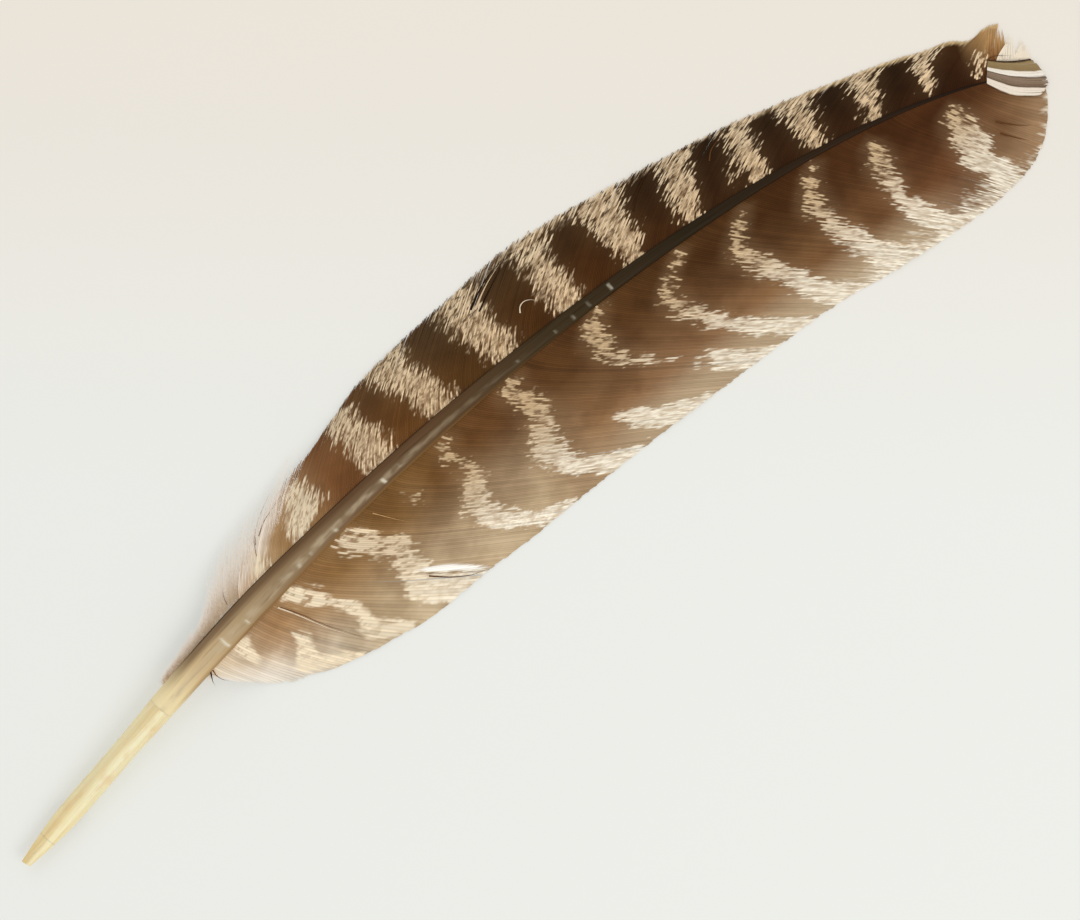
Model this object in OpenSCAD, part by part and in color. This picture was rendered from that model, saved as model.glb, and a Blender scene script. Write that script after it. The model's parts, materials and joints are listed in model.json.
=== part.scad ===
// A quill pen: a barred wing feather, laid on a table with its upper side up,
// whose bare hollow barrel is cut to a split writing point underneath.
// +X runs along the straight line from the writing point to the feather's tip,
// +Y is the side of the narrow leading vane, and +Z is up. The pen rests on Z = 0.

/* [Shaft] */
// Length of the shaft along its curve, from the writing point to the last barb
shaft_length = 358; // [340:1:376]
// Length of the bare hollow barrel
barrel_length = 59; // [56:1:62]
// Outer diameter of the barrel's straight stretch, where the fingers hold it
barrel_d = 6.9; // [6.4:0.1:7.6]
// Outer diameter where the barrel meets the vaned shaft
neck_d = 7.7; // [7.6:0.1:8.2]
// Outer diameter of the uncut barrel at its very end
end_d = 5.8; // [5.6:0.1:6.2]
// Wall thickness of the barrel
barrel_wall = 0.6; // [0.5:0.05:0.7]
// Thickness of the hard outer layer of the vaned shaft
cortex_wall = 0.35; // [0.3:0.05:0.45]

/* [Bow] */
// Heading of the barrel, in degrees off the line between the two ends
bow_start = 10; // [8:0.5:12]
// How far the vaned shaft turns along its whole length, in degrees
bow_turn = 22; // [18:0.5:24]
// Extra turn that the last stretch makes at the tip, in degrees
bow_hook = 12.5; // [8:0.5:14]
// Angle at which the barrel rises off the table, in degrees
rise_angle = 4; // [3.5:0.1:4.4]
// Angle at which the shaft comes back down at the tip, in degrees
fall_angle = 6.1; // [5.8:0.1:6.2]

/* [Writing point] */
// Width of the blunt writing point
nib_width = 2.7; // [2:0.1:3]
// Length of the cut that bares the inside of the barrel
scoop_length = 23; // [21:0.5:25]
// Length of the stretch over which the point narrows
taper_length = 24; // [22:0.5:26]
// Length of the slit, which is the length of each tine
slit_length = 9.5; // [8:0.5:11]
// Width of the closed slit
slit_gap = 0.06; // [0.04:0.01:0.1]
// Slant of the blunt end, in degrees off square
end_slant = 9; // [0:1:12]

/* [Vanes] */
// Widest reach of the narrow leading vane from the middle of the shaft
leading_width = 26.8; // [25:0.1:29]
// Widest reach of the broad trailing vane from the middle of the shaft
trailing_width = 42.2; // [39:0.1:44]
// Thickness of a vane beside the shaft
vane_root_thickness = 0.7; // [0.5:0.05:0.9]
// Thickness of a vane at its edge
vane_edge_thickness = 0.35; // [0.3:0.05:0.45]
// Steepest average slope of a vane from the shaft down to its edge
vane_slope = 0.45; // [0.4:0.01:0.5]

/* [Hidden] */

LEADING = 1;
TRAILING = -1;

keratin_colour = [0.92, 0.87, 0.71];
pith_colour = [0.95, 0.93, 0.88];
shaft_colour = [0.35, 0.26, 0.19];
leading_colour = [0.24, 0.17, 0.11];
trailing_colour = [0.38, 0.25, 0.16];
down_colour = [0.80, 0.74, 0.66];
white_colour = [0.93, 0.90, 0.85];

// ---- Tables: each row is [place along a shaft of the drawn length, value] ----

// The shaft length for which the tables are drawn: they stretch with shaft_length
drawn_length = 358;
stretch = shaft_length / drawn_length;

// Half width of the vaned shaft, past the barrel
shaft_half = [
    [barrel_length / stretch, neck_d / 2], [99, 4.3], [124, 3.7], [181, 2.85], [229, 2.15], [266, 1.7],
    [304, 1.05], [332, 0.7], [358, 0.25]
];

// Reach of each vane's edge from the middle of the shaft, as a share of its widest reach
leading_reach = [
    [91, 0.36], [109, 0.53], [121, 0.65], [140, 0.74], [152, 0.84], [162, 0.92], [178, 0.95], [200, 0.98],
    [216, 1], [230, 0.97], [248, 0.88], [266, 0.81], [285, 0.74], [303, 0.655], [320, 0.585], [337, 0.54],
    [349, 0.545], [361, 0.56], [366, 0.57]
];
trailing_reach = [
    [73, 0.16], [79, 0.28], [87, 0.49], [102, 0.7], [121, 0.85], [135, 0.92], [155, 0.95], [173, 0.985],
    [220, 1], [243, 1], [266, 0.98], [289, 0.955], [311, 0.95], [335, 0.885], [351, 0.79], [360, 0.7],
    [368, 0.54], [372, 0.36], [374, 0.18], [375, 0.012]
];
leading_down_reach = [[84, 0.25], [92, 0.37], [100, 0.5], [108, 0.58], [112, 0.6]];
trailing_down_reach = [[68, 0.135], [74, 0.19], [78, 0.22]];

// How far along the shaft a barb's end lies past its root
leading_sweep = [
    [97, 12], [105, 18], [120, 27], [160, 30], [230, 29], [280, 26], [310, 22], [330, 19], [345, 14.5],
    [353, 10], [358, 7.5]
];
trailing_sweep = [
    [76, 3], [81, 5], [88, 9], [98, 15], [114, 38], [140, 50], [180, 55], [260, 54], [300, 48], [325, 37],
    [340, 27.5], [350, 21.5], [358, 17]
];
leading_down_sweep = [[82, 3], [90, 9], [96, 13]];
trailing_down_sweep = [[69, 0], [76, 2]];

// Where each vane parts into webs, and how far the part stands open at the edge
leading_parts = [[97, 0], [122, 0.3], [152, 0.2], [182, 0.6], [225, 0.2], [275, 0.3], [358, 0]];
trailing_parts = [[76, 0], [98, 0.3], [114, 1.4], [160, 0.3], [212, 0.2], [262, 0.3], [312, 0.5], [358, 0]];
leading_down_parts = [[82, 0], [96.5, 0]];
trailing_down_parts = [[69, 0], [75.5, 0]];

// Gap between neighbouring webs beside the shaft
web_gap = 0.16;
// Power of a barb's curve: over 1, it bends towards the tip as it goes out
barb_curve = 1.3;
// Power of a vane's fall from the shaft to its edge
fall_power = 1.5;
// Height over the shaft's middle at which the barbs are rooted, as a share of its half width
root_height = 0.3;
// How deep the barbs are rooted, as the share of the half width that they reach in to
root_depth = 0.9;
// Power by which an open parting closes again over the web beside it
open_fade = 4;
// Rows and columns of a web's faces
web_rows = 16;
web_columns = 8;

// Rings and sides of the vaned shaft's faces, and where its pith ends
shaft_rings = 44;
shaft_sides = 20;
pith_end = 336;
pith_gap = 0.03;
// Depth of the groove under the shaft, as a share of its half width
groove_depth = 0.22;
// How square the shaft's section is: 1 is round
shaft_square = 0.82;
// Stretch over which the round barrel turns into the squarer shaft
square_length = 20;
shaft_flat = 0.92;

// Stations along the barrel at which its outer diameter changes
barrel_narrow_end = 8;
barrel_straight_start = 23;
barrel_straight_end = 46;
// Height over the barrel's middle at which the cut leaves the point, and at the end of the tines
scoop_point_z = 1.5;
scoop_floor_z = 0.55;
// Where the cut stops being level and runs down to its heel
scoop_bend = 12.5;
scoop_steps = 10;
taper_steps = 12;
taper_power = 1.6;
barrel_fn = 96;

// The dried membranes that divide the hollow barrel
cap_count = 5;
cap_first = 29;
cap_pitch = 6;
cap_height = 1.8;
cap_wall = 0.12;
cap_grip = 0.03;

// ---- The shaft's curve ----

vaned_length = shaft_length - barrel_length;
function along(s) = max(0, min(1, (s - barrel_length) / vaned_length));
function heading(s) = bow_start - bow_turn * pow(along(s), 1.1) - bow_hook * pow(along(s), 8);
function pitch(s) = rise_angle - (rise_angle + fall_angle) * along(s);
function direction(s) = [cos(pitch(s)) * cos(heading(s)), cos(pitch(s)) * sin(heading(s)), sin(pitch(s))];

// The heel of the cut rests on the table
nib_height = barrel_d / 2 * cos(rise_angle) - scoop_length * sin(rise_angle);
stations = [
    for (s = 0, p = [0, 0, nib_height]; s <= shaft_length + 0.5; s = s + 1, p = p + direction(s - 0.5)) p
];
last_station = len(stations) - 1;
function centre(s) =
    s <= 0 ? stations[0] + s * direction(0) :
    s >= last_station ? stations[last_station] + (s - last_station) * direction(shaft_length) :
    stations[floor(s)] + (s - floor(s)) * (stations[ceil(s)] - stations[floor(s)]);
function across(s) = [-sin(heading(s)), cos(heading(s)), 0];

// ---- Smooth reading of a table, at a place along the shaft ----

function row_of(s, table, i = 0) = i >= len(table) - 2 || s < table[i + 1][0] ? i : row_of(s, table, i + 1);
function slope_at(table, i) =
    i <= 0 ? (table[1][1] - table[0][1]) / (table[1][0] - table[0][0]) :
    i >= len(table) - 1 ? (table[i][1] - table[i - 1][1]) / (table[i][0] - table[i - 1][0]) :
    (table[i + 1][1] - table[i - 1][1]) / (table[i + 1][0] - table[i - 1][0]);
function blend(table, i, t, h) =
    (1 + 2 * t) * pow(1 - t, 2) * table[i][1] + t * pow(1 - t, 2) * h * slope_at(table, i)
    + t * t * (3 - 2 * t) * table[i + 1][1] + t * t * (t - 1) * h * slope_at(table, i + 1);
function smooth(s, table) =
    let (
        drawn = s / stretch,
        i = row_of(drawn, table),
        h = table[i + 1][0] - table[i][0],
        t = max(0, min(1, (drawn - table[i][0]) / h))
    ) blend(table, i, t, h);

// ---- Vanes ----

// A vane is [side, widest reach, reach table, sweep table]
leading_vane = [LEADING, leading_width, leading_reach, leading_sweep];
trailing_vane = [TRAILING, trailing_width, trailing_reach, trailing_sweep];
leading_down_vane = [LEADING, leading_width, leading_down_reach, leading_down_sweep];
trailing_down_vane = [TRAILING, trailing_width, trailing_down_reach, trailing_down_sweep];

function root_half(s) = smooth(s, shaft_half);
function barb_end(vane, root) = root + stretch * smooth(root, vane[3]);
function vane_reach(vane, s) = vane[1] * smooth(s, vane[2]);
function shaft_top(s) = max(vane_edge_thickness, centre(s)[2] + root_height * root_half(s));

// A point of a vane's upper face: root is the barb's root and share is how far out along the barb it is
function vane_point(vane, root, share, open) =
    let (
        end = barb_end(vane, root),
        s = root + (end - root) * pow(share, barb_curve) + open * share * share,
        inner = root_depth * root_half(root),
        reach = vane_reach(vane, end),
        out = inner + (reach - inner) * share,
        drop = min(shaft_top(s) - vane_edge_thickness, vane_slope * reach),
        middle = centre(s),
        place = middle + across(s) * out * vane[0]
    ) [place[0], place[1], shaft_top(s) - drop * pow(share, fall_power)];

function web_thickness(share) = vane_root_thickness + (vane_edge_thickness - vane_root_thickness) * share;

// The two triangles of a four-cornered face
function split_quad(a, b, c, d) = [[a, b, c], [a, c, d]];
function flat_list(lists) = [for (one = lists) for (item = one) item];

// Faces of a thin sheet of (rows + 1) x (columns + 1) points above and as many below
function sheet_faces(rows, columns) =
    let (
        w = columns + 1,
        n = (rows + 1) * w
    ) flat_list(concat(
        [for (i = [0:rows - 1]) for (j = [0:columns - 1])
            split_quad(i * w + j, i * w + j + 1, (i + 1) * w + j + 1, (i + 1) * w + j)],
        [for (i = [0:rows - 1]) for (j = [0:columns - 1])
            split_quad(n + i * w + j, n + (i + 1) * w + j, n + (i + 1) * w + j + 1, n + i * w + j + 1)],
        [for (i = [0:rows - 1]) split_quad(i * w, (i + 1) * w, n + (i + 1) * w, n + i * w)],
        [for (i = [0:rows - 1])
            let (near = i * w + columns, far = near + w) split_quad(near, n + near, n + far, far)],
        [for (j = [0:columns - 1]) split_quad(j, n + j, n + j + 1, j + 1)],
        [for (j = [0:columns - 1])
            split_quad(rows * w + j, rows * w + j + 1, n + rows * w + j + 1, n + rows * w + j)]
    ));
function turned(faces) = [for (f = faces) [f[2], f[1], f[0]]];

// The upper face of one web, from one part of the vane to the next
function web_top(vane, parts, number) =
    let (
        first_root = parts[number - 1][0] * stretch + web_gap / 2,
        last_root = parts[number][0] * stretch - web_gap / 2,
        first_open = parts[number - 1][1] / 2,
        last_open = parts[number][1] / 2
    ) [
        for (i = [0:web_rows]) for (j = [0:web_columns])
            let (
                t = i / web_rows,
                root = first_root + (last_root - first_root) * t,
                open = first_open * pow(1 - t, open_fade) - last_open * pow(t, open_fade)
            ) vane_point(vane, root, j / web_columns, open)
    ];

module web(vane, parts, number) {
    top = web_top(vane, parts, number);
    count = len(top);
    bottom = [
        for (k = [0:count - 1])
            let (thickness = web_thickness((k % (web_columns + 1)) / web_columns))
                [top[k][0], top[k][1], max(0, top[k][2] - thickness)]
    ];
    faces = sheet_faces(web_rows, web_columns);
    polyhedron(concat(top, bottom), vane[0] == LEADING ? turned(faces) : faces, convexity = 4);
}

// ---- Placing the pen: the middle of its outline is over the origin ----

outline = concat(
    [for (number = [1:len(leading_parts) - 1]) for (p = web_top(leading_vane, leading_parts, number)) p],
    [for (number = [1:len(trailing_parts) - 1]) for (p = web_top(trailing_vane, trailing_parts, number)) p]
);
// The leading corner of the blunt end, which is the pen's first point along X
corner_along = -nib_width / 2 * tan(end_slant);
corner_up = sqrt(pow(end_d / 2, 2) - pow(nib_width / 2, 2));
point_corner = (corner_along * cos(rise_angle) - corner_up * sin(rise_angle)) * cos(bow_start)
    - nib_width / 2 * sin(bow_start);
middle_x = (point_corner + max([for (p = outline) p[0]])) / 2;
middle_y = (min([for (p = outline) p[1]]) + max([for (p = outline) p[1]])) / 2;

module placed() {
    translate([-middle_x, -middle_y, 0]) children();
}

// The barrel's own frame: X along it from the writing point, Y to the leading side
module on_barrel() {
    placed() translate(stations[0]) rotate([0, 0, bow_start]) rotate([0, -rise_angle, 0]) children();
}

// ---- Barrel and writing point ----

module barrel_tube() {
    outer = [
        [end_d / 2, -2], [end_d / 2, 0], [(end_d + barrel_d) / 4, barrel_narrow_end],
        [barrel_d / 2, barrel_straight_start], [barrel_d / 2, barrel_straight_end],
        [neck_d / 2, barrel_length]
    ];
    inner = [for (i = [len(outer) - 1:-1:0]) [outer[i][0] - barrel_wall, outer[i][1]]];
    rotate([0, 90, 0]) rotate_extrude($fn = barrel_fn) polygon(concat(outer, inner));
}

// Half width of the writing point, seen from above
function taper_half(u) =
    nib_width / 2 + (barrel_d / 2 + 0.2 - nib_width / 2) * (1 - pow(1 - u / taper_length, taper_power));

module point_outline() {
    slant = nib_width / 2 * tan(end_slant);
    taper_step = taper_length / taper_steps;
    side = [for (i = [1:taper_steps]) [i * taper_step, taper_half(i * taper_step)]];
    far = [[barrel_length + 1, barrel_d], [barrel_length + 1, -barrel_d]];
    other = [for (i = [len(side) - 1:-1:0]) [side[i][0], -side[i][1]]];
    translate([0, 0, -barrel_d]) linear_extrude(2 * barrel_d)
        polygon(concat([[slant, -nib_width / 2], [-slant, nib_width / 2]], side, far, other));
}

// The cut that bares the inside: level under the point, then curving down to the heel
module scoop() {
    deep = -barrel_d;
    start = [[-3, deep], [-3, scoop_point_z + 0.2], [0, scoop_point_z]];
    curve = [for (i = [0:scoop_steps]) scoop_spot(i / scoop_steps)];
    rotate([90, 0, 0]) linear_extrude(3 * barrel_d, center = true)
        polygon(concat(start, curve, [[scoop_length, deep]]));
}
// A point of the cut's curve, from the bend (0) to the heel (1)
function scoop_spot(t) = [
    scoop_bend + (scoop_length - scoop_bend) * t,
    scoop_floor_z - (scoop_floor_z + barrel_d / 2) * (1 - sqrt(1 - t * t) * (1 - t * t / 4))
];

module cut_barrel() {
    difference() {
        intersection() {
            barrel_tube();
            point_outline();
        }
        scoop();
    }
}

// A slab past the whole point on one side of the slit, from the end up to the tines' roots
module tine_block(side) {
    root_gap = 0.05;
    width = 2 * barrel_d;
    translate([-3, side == LEADING ? slit_gap / 2 : -width - slit_gap / 2, -barrel_d])
        cube([slit_length + 3 - root_gap, width, 2 * barrel_d]);
}

module tine(side) {
    color(keratin_colour) on_barrel() intersection() {
        cut_barrel();
        tine_block(side);
    }
}

module barrel() {
    color(keratin_colour) on_barrel() difference() {
        cut_barrel();
        translate([-3, -barrel_d, -barrel_d]) cube([slit_length + 3, 2 * barrel_d, 2 * barrel_d]);
    }
}

// One thin cup, open towards the writing point
module pulp_cap(radius) {
    steps = 6;
    outer = [for (i = [0:steps]) cup_spot(radius, 0, 90 * i / steps)];
    inner = [for (i = [steps:-1:0]) cup_spot(radius - cap_wall, cap_wall, 90 * i / steps)];
    rotate([0, -90, 0]) rotate_extrude($fn = 64) polygon(concat(outer, inner));
}
function cup_spot(radius, low, a) = [radius * sin(a), low + (cap_height - low) * (1 - cos(a))];

module pulp_caps() {
    color(pith_colour) on_barrel() for (i = [0:cap_count - 1])
        let (u = cap_first + i * cap_pitch)
            translate([u, 0, 0]) pulp_cap(inner_radius(u) + cap_grip);
}
function neck_share(u) = max(0, u - barrel_straight_end) / (barrel_length - barrel_straight_end);
function inner_radius(u) = barrel_d / 2 - barrel_wall + (neck_d - barrel_d) / 2 * neck_share(u);

// ---- Vaned shaft ----

function signed_power(x, p) = sign(x) * pow(abs(x), p);

// One ring round the shaft, inset from its outer face
function shaft_ring(s, inset) =
    let (
        t = min(1, (s - barrel_length) / square_length),
        half = root_half(s),
        power = 1 + (shaft_square - 1) * t,
        wide = max(0.05, half - inset),
        high = max(0.05, half * (1 + (shaft_flat - 1) * t) - inset),
        side = across(s),
        up = cross(direction(s), side)
    ) [
        for (k = [0:shaft_sides - 1])
            let (
                a = 360 * k / shaft_sides,
                groove = groove_depth * half * t * max(0, -sin(a) * 2 - 1),
                out = wide * signed_power(cos(a), power),
                rise = high * signed_power(sin(a), power) + groove
            ) centre(s) + side * out + up * rise
    ];
function shaft_station(i, n, from, to) = from + (to - from) * i / n;
function ring_faces(first, second) = flat_list([
    for (k = [0:shaft_sides - 1])
        let (m = (k + 1) % shaft_sides) split_quad(first + k, first + m, second + m, second + k)
]);
function end_face(first) = [for (k = [0:shaft_sides - 1]) first + k];

// The hard outer layer: an outer skin and an inner skin that join at the barrel's end
module rachis_cortex() {
    n = shaft_rings;
    outer = flat_list([
        for (i = [0:n]) shaft_ring(shaft_station(i, n, barrel_length, shaft_length), 0)
    ]);
    inner = flat_list([
        for (i = [0:n]) shaft_ring(shaft_station(i, n, barrel_length, pith_end), inset_at(i / n))
    ]);
    inner_first = len(outer);
    faces = concat(
        flat_list([for (i = [0:n - 1]) ring_faces(i * shaft_sides, (i + 1) * shaft_sides)]),
        turned(flat_list([
            for (i = [0:n - 1]) ring_faces(inner_first + i * shaft_sides, inner_first + (i + 1) * shaft_sides)
        ])),
        turned(ring_faces(0, inner_first)),
        [end_face(n * shaft_sides)],
        [reversed(end_face(inner_first + n * shaft_sides))]
    );
    color(shaft_colour) placed() polyhedron(concat(outer, inner), turned_all(faces), convexity = 6);
}
function inset_at(t) = barrel_wall + (cortex_wall - barrel_wall) * min(1, t * 6);
function reversed(list) = [for (i = [len(list) - 1:-1:0]) list[i]];
function turned_all(faces) = [for (f = faces) reversed(f)];

// The foamy core inside the outer layer
module rachis_pith() {
    n = shaft_rings;
    points = flat_list([
        for (i = [0:n])
            shaft_ring(shaft_station(i, n, barrel_length, pith_end - 0.1), inset_at(i / n) + pith_gap)
    ]);
    faces = concat(
        flat_list([for (i = [0:n - 1]) ring_faces(i * shaft_sides, (i + 1) * shaft_sides)]),
        [reversed(end_face(0))],
        [end_face(n * shaft_sides)]
    );
    color(pith_colour) placed() polyhedron(points, turned_all(faces), convexity = 4);
}

// ---- Webs, down and the bent barbs ----

module leading_web(number) {
    color(leading_colour) placed() web(leading_vane, leading_parts, number);
}

module trailing_web(number) {
    color(trailing_colour) placed() web(trailing_vane, trailing_parts, number);
}

module leading_down() {
    color(down_colour) placed() web(leading_down_vane, leading_down_parts, 1);
}

module trailing_down() {
    color(down_colour) placed() web(trailing_down_vane, trailing_down_parts, 1);
}

// Barbs of the tip that are folded across the end of the shaft: corners are [place along, place across]
module tip_bent_barbs() {
    rows = 6;
    columns = 6;
    near_a = [357.6, -0.6];
    near_b = [360.6, 4.8];
    far_a = [371.6, -7.6];
    far_b = [373, 2.4];
    thickness = 0.35;
    sunk = 0.15;
    far_lift = 0.4;
    curl = 0.5;
    top = [
        for (i = [0:rows]) for (j = [0:columns])
            let (
                near = near_a + (near_b - near_a) * i / rows,
                far = far_a + (far_b - far_a) * i / rows,
                spot = near + (far - near) * j / columns,
                place = centre(spot[0] * stretch) + across(spot[0] * stretch) * spot[1],
                rise = far_lift * j / columns + curl * sin(180 * j / columns)
            ) [place[0], place[1], shaft_top(spot[0] * stretch) + thickness - sunk + rise]
    ];
    bottom = [for (p = top) p - [0, 0, thickness]];
    color(white_colour) placed()
        polyhedron(concat(top, bottom), turned(sheet_faces(rows, columns)), convexity = 4);
}

barrel();
tine(LEADING);  // leading_tine
tine(TRAILING);  // trailing_tine
pulp_caps();
rachis_cortex();
rachis_pith();
leading_web(1);  // leading_web_1
leading_web(2);  // leading_web_2
leading_web(3);  // leading_web_3
leading_web(4);  // leading_web_4
leading_web(5);  // leading_web_5
leading_web(6);  // leading_web_6
trailing_web(1);  // trailing_web_1
trailing_web(2);  // trailing_web_2
trailing_web(3);  // trailing_web_3
trailing_web(4);  // trailing_web_4
trailing_web(5);  // trailing_web_5
trailing_web(6);  // trailing_web_6
trailing_web(7);  // trailing_web_7
leading_down();
trailing_down();
tip_bent_barbs();
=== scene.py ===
# A quill pen: a barred wing feather lying on a pale table. A place on it is given by s, its distance along
# the shaft from the writing point, and by how far out from the shaft it is. Lengths are in millimetres until
# put() makes metres.
import json
import math
from types import SimpleNamespace

import bpy
import numpy as np
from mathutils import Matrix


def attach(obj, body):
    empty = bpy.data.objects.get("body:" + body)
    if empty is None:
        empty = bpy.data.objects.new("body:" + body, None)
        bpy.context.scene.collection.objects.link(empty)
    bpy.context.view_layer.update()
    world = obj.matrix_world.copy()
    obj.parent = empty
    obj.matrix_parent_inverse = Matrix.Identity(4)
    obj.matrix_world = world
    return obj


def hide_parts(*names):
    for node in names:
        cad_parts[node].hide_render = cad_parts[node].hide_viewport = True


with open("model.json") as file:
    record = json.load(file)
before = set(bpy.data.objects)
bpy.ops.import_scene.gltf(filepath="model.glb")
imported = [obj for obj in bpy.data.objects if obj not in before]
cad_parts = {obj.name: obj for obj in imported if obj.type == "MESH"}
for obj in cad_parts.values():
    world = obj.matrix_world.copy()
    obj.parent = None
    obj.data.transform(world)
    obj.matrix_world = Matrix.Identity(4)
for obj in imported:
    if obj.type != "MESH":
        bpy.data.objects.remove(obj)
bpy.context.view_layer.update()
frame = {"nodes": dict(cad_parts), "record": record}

MM = 0.001
BODY = "feather"

# ---- The shaft's curve, started from the record's barrel mount ----

MOUNT_FROM_POINT = 34.5  # from the writing point to the middle of the barrel mount
BARREL_LENGTH = 59.0
SHAFT_LENGTH = 358.0
FEATHER_END = 376.0
BOW_TURN = 22.0  # how far the vaned shaft turns, in degrees, and the extra turn at its tip
BOW_HOOK = 12.5
FALL_ANGLE = 6.1  # the angle at which the shaft comes back down at the tip
STATION_STEP = 0.5

mount = next(m for m in frame["record"]["mounts"] if m["name"] == "barrel")
barrel_axis = -np.array(mount["axis"])
point_start = np.array(mount["pos_m"]) / MM - barrel_axis * MOUNT_FROM_POINT
BOW_START = math.degrees(math.atan2(barrel_axis[1], barrel_axis[0]))
RISE_ANGLE = math.degrees(math.asin(barrel_axis[2]))


def vaned_share(s):
    return np.clip((s - BARREL_LENGTH) / (SHAFT_LENGTH - BARREL_LENGTH), 0, 1)


def heading(s):
    u = vaned_share(s)
    return np.radians(BOW_START - BOW_TURN * u**1.1 - BOW_HOOK * u**8)


def pitch(s):
    return np.radians(RISE_ANGLE - (RISE_ANGLE + FALL_ANGLE) * vaned_share(s))


def direction(s):
    h, p = heading(s), pitch(s)
    return np.stack([np.cos(p) * np.cos(h), np.cos(p) * np.sin(h), np.sin(p)], axis=-1)


def across(s):
    h = heading(s)
    return np.stack([-np.sin(h), np.cos(h), np.zeros_like(h)], axis=-1)


station_s = np.arange(0, FEATHER_END + 4, STATION_STEP)
station_steps = direction(station_s[:-1] + STATION_STEP / 2) * STATION_STEP
station_points = np.vstack([point_start, point_start + np.cumsum(station_steps, axis=0)])


def centre(s):
    return np.stack([np.interp(s, station_s, station_points[:, k]) for k in range(3)], axis=-1)


# ---- Tables: rows of (place along the shaft, value), read smoothly ----

SHAFT_HALF = [
    (59, 3.85), (99, 4.3), (124, 3.7), (181, 2.85), (229, 2.15), (266, 1.7), (304, 1.05), (332, 0.7),
    (358, 0.25)
]
# How far out each vane's edge lies, as a share of its width
LEADING_REACH = [
    (91, 0.36), (109, 0.53), (121, 0.65), (140, 0.74), (152, 0.84), (162, 0.92), (178, 0.95), (200, 0.98),
    (216, 1), (230, 0.97), (248, 0.88), (266, 0.81), (285, 0.74), (303, 0.655), (320, 0.585), (337, 0.54),
    (345, 0.515), (351, 0.53), (356.5, 0.48), (361.5, 0.57), (366, 0.57)
]
TRAILING_REACH = [
    (73, 0.16), (79, 0.28), (87, 0.49), (102, 0.7), (121, 0.85), (135, 0.92), (155, 0.95), (173, 0.985),
    (220, 1), (243, 1), (266, 0.98), (289, 0.955), (311, 0.95), (335, 0.885), (351, 0.79), (360, 0.7),
    (368, 0.54), (372, 0.36), (374, 0.18), (375, 0.012)
]
# How far along the shaft a barb's end lies past its root
LEADING_SWEEP = [
    (97, 12), (105, 18), (120, 27), (160, 30), (230, 29), (280, 26), (310, 22), (330, 19), (345, 14.5),
    (353, 10), (358, 7.5)
]
TRAILING_SWEEP = [
    (76, 3), (81, 5), (88, 9), (98, 15), (114, 38), (140, 50), (180, 55), (260, 54), (300, 48), (325, 37),
    (340, 27.5), (350, 21.5), (358, 17)
]
# Where each vane parts into webs: rows of (root of the parting, its opening at the edge)
LEADING_PARTS = [(97, 0), (122, 0.3), (152, 0.2), (182, 0.6), (225, 0.2), (275, 0.3), (358, 0)]
TRAILING_PARTS = [
    (76, 0), (98, 0.3), (114, 1.4), (160, 0.3), (212, 0.2), (262, 0.3), (312, 0.25), (358, 0)
]


def smooth(s, table):
    """Cubic reading of a table, level past its ends."""
    s = np.asarray(s, float)
    x = np.array([row[0] for row in table], float)
    y = np.array([row[1] for row in table], float)
    slope = np.empty_like(y)
    slope[1:-1] = (y[2:] - y[:-2]) / (x[2:] - x[:-2])
    slope[0] = (y[1] - y[0]) / (x[1] - x[0])
    slope[-1] = (y[-1] - y[-2]) / (x[-1] - x[-2])
    i = np.clip(np.searchsorted(x, s, side="right") - 1, 0, len(x) - 2)
    h = x[i + 1] - x[i]
    t = np.clip((s - x[i]) / h, 0, 1)
    start = (1 + 2 * t) * (1 - t) ** 2 * y[i] + t * (1 - t) ** 2 * h * slope[i]
    end = t * t * (3 - 2 * t) * y[i + 1] + t * t * (t - 1) * h * slope[i + 1]
    return start + end


def root_half(s):
    return smooth(s, SHAFT_HALF)


def between(a, b, t):
    """The value a share t of the way from a to b."""
    return a + (b - a) * t


def beside(s, out, z):
    """Points at places along the shaft, at distances out to its leading side and at heights."""
    place = centre(s) + across(s) * out[..., None]
    return np.stack([place[..., 0], place[..., 1], z + 0 * s], axis=-1)


# ---- The vanes' surface ----

ROOT_HEIGHT = 0.3  # the barbs leave the shaft this high and this far out, as shares of its half width
ROOT_DEPTH = 0.9
EDGE_LIFT = 0.35
VANE_SLOPE = 0.45  # the steepest average slope down to the edge
FALL_POWER = 1.5
BARB_CURVE = 1.3
WAVE_HEIGHT = 0.35
ROOT_SEARCHES = 8  # steps of the search for the barb that passes through a point


def shaft_top(s):
    return np.maximum(EDGE_LIFT, centre(s)[..., 2] + ROOT_HEIGHT * root_half(s))


def wave(side, s, share):
    """The vanes' slight waviness, which grows outward."""
    return np.maximum(WAVE_HEIGHT * share * np.sin(s * 0.11 + 1.7 * side) * np.sin(s * 0.043 + 0.6), 0)


def barb_span(vane, root):
    """Where a barb ends along the shaft, and how far out from the shaft it starts and ends."""
    end = root + smooth(root, vane.sweep)
    return end, ROOT_DEPTH * root_half(root), vane.width * smooth(end, vane.reach)


def vane_height(vane, s, share, reach):
    drop = np.minimum(shaft_top(s) - EDGE_LIFT, VANE_SLOPE * reach)
    return shaft_top(s) - drop * share**FALL_POWER + wave(vane.side, s, share)


def vane_point(vane, root, share, shift, longer):
    """Points of a vane's upper face, with each point's place along the shaft and its distance out from it."""
    end, inner, reach = barb_span(vane, root)
    s = root + (end - root) * share**BARB_CURVE * longer + shift
    out = inner + (reach - inner) * share * longer
    return beside(s, out * vane.side, vane_height(vane, s, share, reach)), s, out


def surface_point(vane, s, out, lift):
    """The point of a vane's upper face at a place along the shaft and a distance out from it."""
    root = s
    for _ in range(ROOT_SEARCHES):
        end, inner, reach = barb_span(vane, root)
        share = np.clip((out - inner) / (reach - inner), 0, 1.1)
        root = s - (end - root) * share**BARB_CURVE
    return beside(s, out * vane.side, vane_height(vane, s, share, reach) + RIDGE_HEIGHT + lift)


# ---- Pale bars: each is a row of (place along the shaft, distance out, half width) ----

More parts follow.
